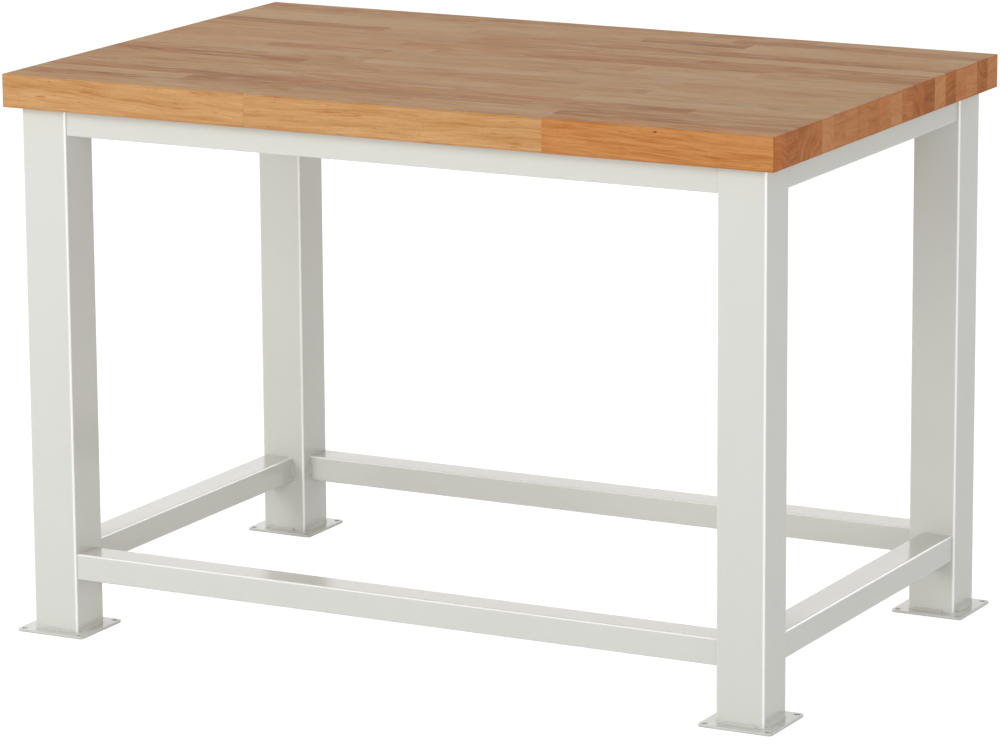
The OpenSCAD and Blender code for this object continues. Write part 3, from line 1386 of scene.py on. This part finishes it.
@dataclass
class Fixings(SubAssembly):
    """Tabs inside the top rails, and the washers and screws that hold the worktop down.

    Every slot is long across the grain, so it is narrow along X. Its ends stop just short of
    a half circle, which leaves them an edge to be joined by.
    """

    coat: Finish = PowderCoat()
    zinc: Finish = ZincPlate()
    tab_corner: float = 0.006
    tab_corner_steps: int = 5
    tab_break: float = 0.0006
    slot_length: float = 0.018
    slot_width: float = 0.009
    slot_end: float = 0.4999
    slot_end_steps: int = 10
    washer_radius: float = 0.012
    washer_bore: float = 0.0042
    washer_thick: float = 0.002
    washer_break: float = 0.00025
    washer_steps: int = 48
    head_sides: int = 6
    head_flats: float = 0.013
    head_height: float = 0.0055
    head_break: float = 0.0008
    head_break_steps: int = 3
    screw_length: float = 0.040
    screw_radius: float = 0.004
    screw_steps: int = 24
    core_radius: float = 0.0029
    thread_pitch: float = 0.0032
    thread_steps: int = 16
    thread_start: float = 0.004
    thread_short: float = 0.006
    thread_foot: float = 0.26
    thread_sunk: float = 0.92
    point_length: float = 0.006
    point_taper: float = 4.0

    def build(self) -> None:
        """Build the tabs, the washers and the screws."""
        washers = islands("worktop_washers")
        for side in Side:
            self._build_tabs(side, washers)
        seats = [washer.middle_at(washer.high.z) for washer in washers]
        self._build_washers(seats)
        self._build_screws(seats)

    def _build_tabs(self, side: Side, washers: list[NodeBox]) -> None:
        """Build the slotted tabs of one side's rail, each slot over its washer.

        Args:
            side: The rail's side of the bench.
            washers: Where the washers are.
        """
        node = f"fixing_tabs_{side.word}"
        work = Workpiece()
        for tab in islands(node):
            top = tab.high.z
            size = tab.size
            steps = self.tab_corner_steps
            work.outline(tab.middle_at(top), size.x, size.y, self.tab_corner, steps)
            for washer in washers:
                hub = washer.middle_at(top)
                if tab.low.x < hub.x < tab.high.x and tab.low.y < hub.y < tab.high.y:
                    end = self.slot_width * self.slot_end
                    work.outline(hub, self.slot_width, self.slot_length, end, self.slot_end_steps)
            work.fill_plate(size.z, self.tab_break)
        self.keep(work.finished(f"coated_{node}"), self.coat, Slot.POWDER_COAT, node)

    def _build_washers(self, seats: list[Vector]) -> None:
        """Build the washers, each a ring with broken rims.

        Args:
            seats: The middle of each washer's upper face.
        """
        work = Workpiece()
        for seat in seats:
            for radius in (self.washer_radius, self.washer_bore):
                work.ring(seat, radius, self.washer_steps)
            work.fill_plate(self.washer_thick, self.washer_break)
        self.keep(work.finished("plated_washers"), self.zinc, Slot.ZINC, "worktop_washers")

    def _build_screws(self, seats: list[Vector]) -> None:
        """Build the hexagon head screws, their threads up in the wood.

        Args:
            seats: The middle of the upper face of each screw's washer.
        """
        work = Workpiece()
        for seat in seats:
            under_head = seat - Z_WAY * self.washer_thick
            self._add_head(work, under_head)
            self._add_shank(work, under_head)
        self.keep(work.finished("plated_screws"), self.zinc, Slot.ZINC, "worktop_screws")

    def _add_head(self, work: Workpiece, top: Vector) -> None:
        """Add a hexagon head, its rims broken.

        Args:
            work: The screws.
            top: The point that the head hangs from.
        """
        middle = top - Z_WAY * self.head_height / 2
        radius = self.head_flats / 2 / math.cos(math.pi / self.head_sides)
        verts = work.cone(middle, radius, radius, self.head_height, self.head_sides)
        work.mesh.normal_update()
        edges = {edge for vert in verts for edge in vert.link_edges}
        below = [edge for edge in edges if all(vert.co.z < middle.z for vert in edge.verts)]
        work.bevel(below, self.head_break, self.head_break_steps)

    def _add_shank(self, work: Workpiece, bottom: Vector) -> None:
        """Add a threaded shank with a tapered end.

        Args:
            work: The screws.
            bottom: The point that the shank stands on.
        """
        straight = self.screw_length - self.point_length
        core, point = self.core_radius, self.point_length
        for tip, height, depth in (
            (core, straight / 2, straight),
            (core / self.point_taper, straight + point / 2, point),
        ):
            work.cone(bottom + Z_WAY * height, core, tip, depth, self.screw_steps)
        thread = bmesh.new()
        start = bottom + Z_WAY * self.thread_start
        sunk, foot = core * self.thread_sunk, self.thread_pitch * self.thread_foot
        corners = [
            thread.verts.new(start + Vector((radius, 0, rise)))
            for radius, rise in ((sunk, -foot), (self.screw_radius, 0.0), (sunk, foot))
        ]
        ridge = thread.faces.new(corners)
        turns = int((straight - self.thread_short) / self.thread_pitch)
        bmesh.ops.spin(
            thread,
            geom=[ridge, *ridge.edges, *ridge.verts],
            cent=start,
            axis=Z_WAY,
            dvec=Z_WAY * self.thread_pitch / self.thread_steps,
            angle=2 * math.pi * turns,
            steps=turns * self.thread_steps,
        )
        close_ends(thread)
        bmesh.ops.recalc_face_normals(thread, faces=thread.faces)
        work.add_copy(thread)


class Tone(Enum):
    """Staves that stand out from the rest, by tone, redness and figure."""

    LIGHT = (0.95, 0.0, 0.5)
    DARK = (-0.85, 0.25, 0.8)
    RED = (-0.15, 0.85, 0.9)
    GOLDEN = (0.28, 0.15, 0.35)
    FIGURED = (-0.22, 1.15, 0.8)


@dataclass
class Worktop(SubAssembly):
    """Twenty rows of beech staves, each row one piece.

    The staves that stand out are given by their tone, their row from the front and a place
    along it from its left end. Any other stave draws its look: the spreads are those of its
    tone, redness, figure, the pith's turn and distance, and the pith's lean.
    """

    NUMBERS: ClassVar[tuple[str, ...]] = (
        "end_grain", "glue_line", "work_face", "arris", "upright",
    )
    VECTORS: ClassVar[tuple[str, ...]] = (
        "stave_middle", "stave_look", "pith_offset", "pith_lean",
    )
    LEVEL: ClassVar[float] = 0.8
    SAME_WAY: ClassVar[float] = 0.999
    REACH: ClassVar[float] = 0.001
    finish: Finish = OiledBeech()
    rows: int = 20
    arris: float = 0.0015
    arris_steps: int = 3
    seam_break: float = 0.00012
    seed: int = 27
    tone_spread: tuple[float, float] = (0.0, 0.40)
    redness_spread: tuple[float, float] = (0.12, 0.22)
    figure_range: tuple[float, float] = (0.3, 1.2)
    pith_turns: tuple[float, float] = (-0.5, 0.5)
    turn_spread: tuple[float, float] = (0.0, 0.4)
    pith_range: tuple[float, float] = (0.035, 0.120)
    lean_range: tuple[float, float] = (-0.03, 0.03)
    figured_pith: tuple[float, float, float] = (0, -0.030, -0.060)
    figured_lean: tuple[float, float, float] = (0, 0.010, -0.028)
    standing_out: tuple[tuple[Tone, tuple[tuple[int, float], ...]], ...] = (
        (Tone.GOLDEN, ((1, 0.20), (1, 0.60))),
        (Tone.FIGURED, ((1, 1.10),)),
        (
            Tone.DARK,
            (
                (3, 0.30), (3, 0.55), (4, 0.25), (4, 1.05), (8, 0.18),
                (13, 1.03), (14, 1.12), (16, 0.93), (16, 0.20), (19, 0.88),
            ),
        ),
        (
            Tone.LIGHT,
            ((4, 0.62), (5, 1.13), (9, 0.76), (11, 0.90), (15, 1.24), (17, 0.38), (18, 0.38)),
        ),
        (Tone.RED, ((4, 0.80),)),
    )

    def build(self) -> None:
        """Build each row from its staves."""
        for row in range(1, self.rows + 1):
            node = f"worktop_row_{row:02d}"
            work = Workpiece(self.NUMBERS, self.VECTORS)
            for stave in islands(node):
                self._add_stave(work, row, stave)
            self.keep(work.finished(f"beech_row_{row:02d}"), self.finish, Slot.BEECH, node)

    def _add_stave(self, work: Workpiece, row: int, stave: NodeBox) -> None:
        """Add one stave to its row, with its edges broken and its grain marked.

        Args:
            work: The row.
            row: The row's number from the front.
            stave: The room that the stave takes.
        """
        before = set(work.mesh.faces)
        faces = work.block(stave.low, stave.high)
        edges = {edge for face in faces for edge in face.edges}
        hidden = self._joint_ways(row, stave)
        outer = [
            edge for edge in edges if not any(self._faces(face, hidden) for face in edge.link_faces)
        ]
        arris = work.bevel(outer, self.arris, self.arris_steps)
        work.mesh.normal_update()
        joints = [
            face for face in work.mesh.faces if face not in before and self._faces(face, hidden)
        ]
        seams = {
            edge
            for face in joints
            for edge in face.edges
            if not all(self._faces(near, hidden) for near in edge.link_faces)
        }
        glued = work.bevel(seams, self.seam_break, 1)
        work.mesh.normal_update()
        faces = [face for face in work.mesh.faces if face not in before]
        self._mark_grain(work, row, stave, faces)
        marks = {
            "arris": [face for face in arris if face.is_valid],
            "work_face": [face for face in faces if face.normal.z > self.LEVEL],
            "upright": [face for face in faces if abs(face.normal.z) < 1 - self.LEVEL],
            "glue_line": [face for face in glued if face.is_valid],
            "end_grain": [face for face in faces if abs(face.normal.x) > self.LEVEL],
        }
        for name, marked in marks.items():
            work.mark(name, faces, 0.0)
            work.mark(name, marked, 1.0)

    def _joint_ways(self, row: int, stave: NodeBox) -> list[Vector]:
        """The ways in which a stave has a neighbour.

        Args:
            row: The row's number from the front.
            stave: The room that the stave takes.

        Returns:
            One way for each neighbour.
        """
        whole = NodeBox.of(f"worktop_row_{row:02d}")
        ways = (
            (-Y_WAY, row > 1),
            (Y_WAY, row < self.rows),
            (-X_WAY, stave.low.x > whole.low.x + self.REACH),
            (X_WAY, stave.high.x < whole.high.x - self.REACH),
        )
        return [way for way, is_joined in ways if is_joined]

    def _faces(self, face: bmesh.types.BMFace, ways: list[Vector]) -> bool:
        """Whether a face looks in one of these ways."""
        return any(face.normal.dot(way) > self.SAME_WAY for way in ways)

    def _mark_grain(
        self, work: Workpiece, row: int, stave: NodeBox, faces: list[bmesh.types.BMFace]
    ) -> None:
        """Write a stave's tone and rings on its faces.

        Args:
            work: The row.
            row: The row's number from the front.
            stave: The room that the stave takes.
            faces: The stave's faces.
        """
        dice = random.Random(f"{self.seed} {row} {round(stave.low.x, 3)}")
        tone = dice.gauss(*self.tone_spread)
        redness = max(0.0, dice.gauss(*self.redness_spread))
        look = Vector((tone, redness, dice.uniform(*self.figure_range)))
        turn = dice.choice(self.pith_turns) * math.pi + dice.gauss(*self.turn_spread)
        away = dice.uniform(*self.pith_range)
        pith = Vector((0, math.cos(turn), math.sin(turn))) * away
        lean = Vector((0, dice.uniform(*self.lean_range), dice.uniform(*self.lean_range)))
        left_end = CAD_BOX[0][0]
        for marked, places in self.standing_out:
            for its_row, place in places:
                if its_row == row and stave.low.x < place + left_end < stave.high.x:
                    look = Vector(marked.value)
                    if marked is Tone.FIGURED:
                        pith, lean = Vector(self.figured_pith), Vector(self.figured_lean)
        work.mark("stave_middle", faces, stave.middle)
        work.mark("stave_look", faces, look)
        work.mark("pith_offset", faces, pith)
        work.mark("pith_lean", faces, lean)


# Studio


@dataclass(frozen=True)
class StudioFloor(Finish):
    """A white floor that shows the bench's shadow only faintly to the eye."""

    name: str = "studio_floor"
    bounce: Colour = (0.85, 0.85, 0.85)
    shown_share: float = 0.34
    glow: float = 1.38

    def surface(self, graph: Graph) -> Wire:
        """Plain matt white for the light, and nearly even white for the eye.

        Args:
            graph: The finish's graph.

        Returns:
            The shader.
        """
        matt = graph.node("ShaderNodeBsdfDiffuse", {}, {"Color": (*self.bounce, 1.0)})
        white = graph.node("ShaderNodeEmission", {}, {"Strength": self.glow})
        seen = graph.node("ShaderNodeLightPath", {}, {}, "Is Camera Ray")
        shiny = seen.sibling("Is Glossy Ray")
        share = (seen + shiny) * (1.0 - self.shown_share)
        return graph.node("ShaderNodeMixShader", {}, {0: share, 1: matt, 2: white})


def way_round(turn: float, rise: float) -> Vector:
    """The way that lies so far round from the front towards the right, and so far up."""
    level = Vector((math.sin(turn), -math.cos(turn), 0))
    return level * math.cos(rise) + Z_WAY * math.sin(rise)


@dataclass(frozen=True)
class SoftLamp:
    """A square area lamp.

    Its place is given by the way it lies from the middle of the bench: degrees round from the
    front towards the right, degrees up, and metres away. A lamp that isn't mirrored shines on
    the bench without showing in its glossy paint.
    """

    name: str
    round_from_front: float
    up: float
    away: float
    size: float
    power: float
    mirrored: bool = True

    def hang(self, middle: Vector) -> None:
        """Hang the lamp so that it shines on a point.

        Args:
            middle: The point.
        """
        way = way_round(math.radians(self.round_from_front), math.radians(self.up))
        data = bpy.data.lights.new(self.name, "AREA")
        data.shape = "SQUARE"
        data.size = self.size
        data.energy = self.power
        lamp = bpy.data.objects.new(self.name, data)
        lamp.location = middle + way * self.away
        lamp.rotation_euler = (-way).to_track_quat("-Z", "Y").to_euler()
        lamp.visible_camera = False
        lamp.visible_glossy = self.mirrored
        bpy.context.scene.collection.objects.link(lamp)


@dataclass(frozen=True)
class PhotoCamera:
    """The camera at the photograph's viewing angle, fitted to the bench's edges."""

    round_from_front: float = 0.48492
    down: float = 0.21907
    roll: float = -0.00641
    away: float = 7.66464
    right_shift: float = -0.00858
    up_shift: float = -0.04261
    lens: float = 183.674
    sensor: float = 36.0
    aim_height: float = 0.425
    nearest: float = 0.1
    farthest: float = 200.0

    def set_up(self) -> None:
        """Place the camera and make it the scene's own."""
        turn = self.round_from_front
        ahead = -way_round(turn, self.down)
        right = Vector((math.cos(turn), math.sin(turn), 0))
        up = right.cross(ahead)
        shift = right * self.right_shift + up * self.up_shift
        place = Z_WAY * self.aim_height - ahead * self.away + shift
        rolled_right = right * math.cos(self.roll) + up * math.sin(self.roll)
        rolled_up = up * math.cos(self.roll) - right * math.sin(self.roll)
        data = bpy.data.cameras.new("photo_camera")
        data.lens = self.lens
        data.sensor_width = self.sensor
        data.sensor_fit = "HORIZONTAL"
        data.clip_start = self.nearest
        data.clip_end = self.farthest
        camera = bpy.data.objects.new("photo_camera", data)
        turned = Matrix((rolled_right, rolled_up, -ahead)).transposed().to_4x4()
        camera.matrix_world = Matrix.Translation(place) @ turned
        bpy.context.scene.collection.objects.link(camera)
        bpy.context.scene.camera = camera


@dataclass
class Studio:
    """A plain white floor, soft lamps, an even white world and the camera."""

    floor_finish: Finish = StudioFloor()
    floor_radius: float = 60.0
    floor_steps: int = 96
    floor_drop: float = 0.0002
    lamp_aim: float = 0.45
    wall_light: float = 0.75
    ceiling_light: float = 0.37
    ceiling_from: float = 0.35
    ceiling_full: float = 0.75
    lamps: tuple[SoftLamp, ...] = (
        SoftLamp("key_lamp", -30.0, 22.0, 5.0, 2.2, 76.0, False),
        SoftLamp("front_lamp", 14.0, 16.0, 5.0, 2.2, 37.0, False),
        SoftLamp("right_lamp", 62.0, 3.0, 5.0, 1.0, 20.0),
        SoftLamp("left_lamp", -100.0, 16.0, 5.0, 2.4, 36.0, False),
        SoftLamp("back_lamp", 208.0, 14.0, 5.0, 2.6, 11.0),
        SoftLamp("back_right_lamp", 162.0, 25.0, 5.0, 1.3, 20.0),
    )
    camera: PhotoCamera = PhotoCamera()

    def build(self) -> None:
        """Build the studio round the bench."""
        self._lay_floor()
        self._light_world()
        for lamp in self.lamps:
            lamp.hang(Z_WAY * self.lamp_aim)
        self.camera.set_up()
        bpy.context.scene.view_settings.view_transform = "Standard"
        LOG.info("studio: floor, world, %d lamps and camera", len(self.lamps))

    def _lay_floor(self) -> None:
        """Lay the floor, which isn't part of the bench."""
        sheet = bmesh.new()
        placing = Matrix.Translation((0, 0, -self.floor_drop))
        bmesh.ops.create_circle(
            sheet,
            cap_ends=True,
            segments=self.floor_steps,
            radius=self.floor_radius,
            matrix=placing,
        )
        data = bpy.data.meshes.new("floor")
        sheet.to_mesh(data)
        sheet.free()
        floor = bpy.data.objects.new("floor", data)
        data.materials.append(self.floor_finish.material())
        bpy.context.scene.collection.objects.link(floor)

    def _light_world(self) -> None:
        """Light the room by its walls and ceiling, and show it as white."""
        world = bpy.data.worlds.new("white_room")
        world.use_nodes = True
        graph = Graph(world.node_tree)
        height = graph.node("ShaderNodeTexCoord", {}, {}, "Generated").axes()[2]
        ceiling = height.rise(self.ceiling_from, self.ceiling_full)
        light = self.wall_light + (self.ceiling_light - self.wall_light) * ceiling
        dim = graph.node("ShaderNodeBackground", {}, {"Color": (1, 1, 1, 1), "Strength": light})
        white = graph.node("ShaderNodeBackground", {}, {"Color": (1, 1, 1, 1), "Strength": 1.0})
        seen = graph.node("ShaderNodeLightPath", {}, {}, "Is Camera Ray")
        shown = seen + seen.sibling("Is Glossy Ray") + seen.sibling("Is Transmission Ray")
        mixed = graph.node("ShaderNodeMixShader", {}, {0: shown, 1: dim, 2: white})
        graph.node("ShaderNodeOutputWorld", {}, {"Surface": mixed})
        bpy.context.scene.world = world


def main() -> None:
    """Build and dress the bench, one sub-assembly after another."""
    logging.basicConfig(level=logging.INFO, format="%(name)s: %(message)s")
    for part in (Legs(), BasePlates(), Rails(), Welds(), Fixings(), Worktop()):
        part.build()
        part.dress()
    Studio().build()


if __name__ == "__main__":
    main()
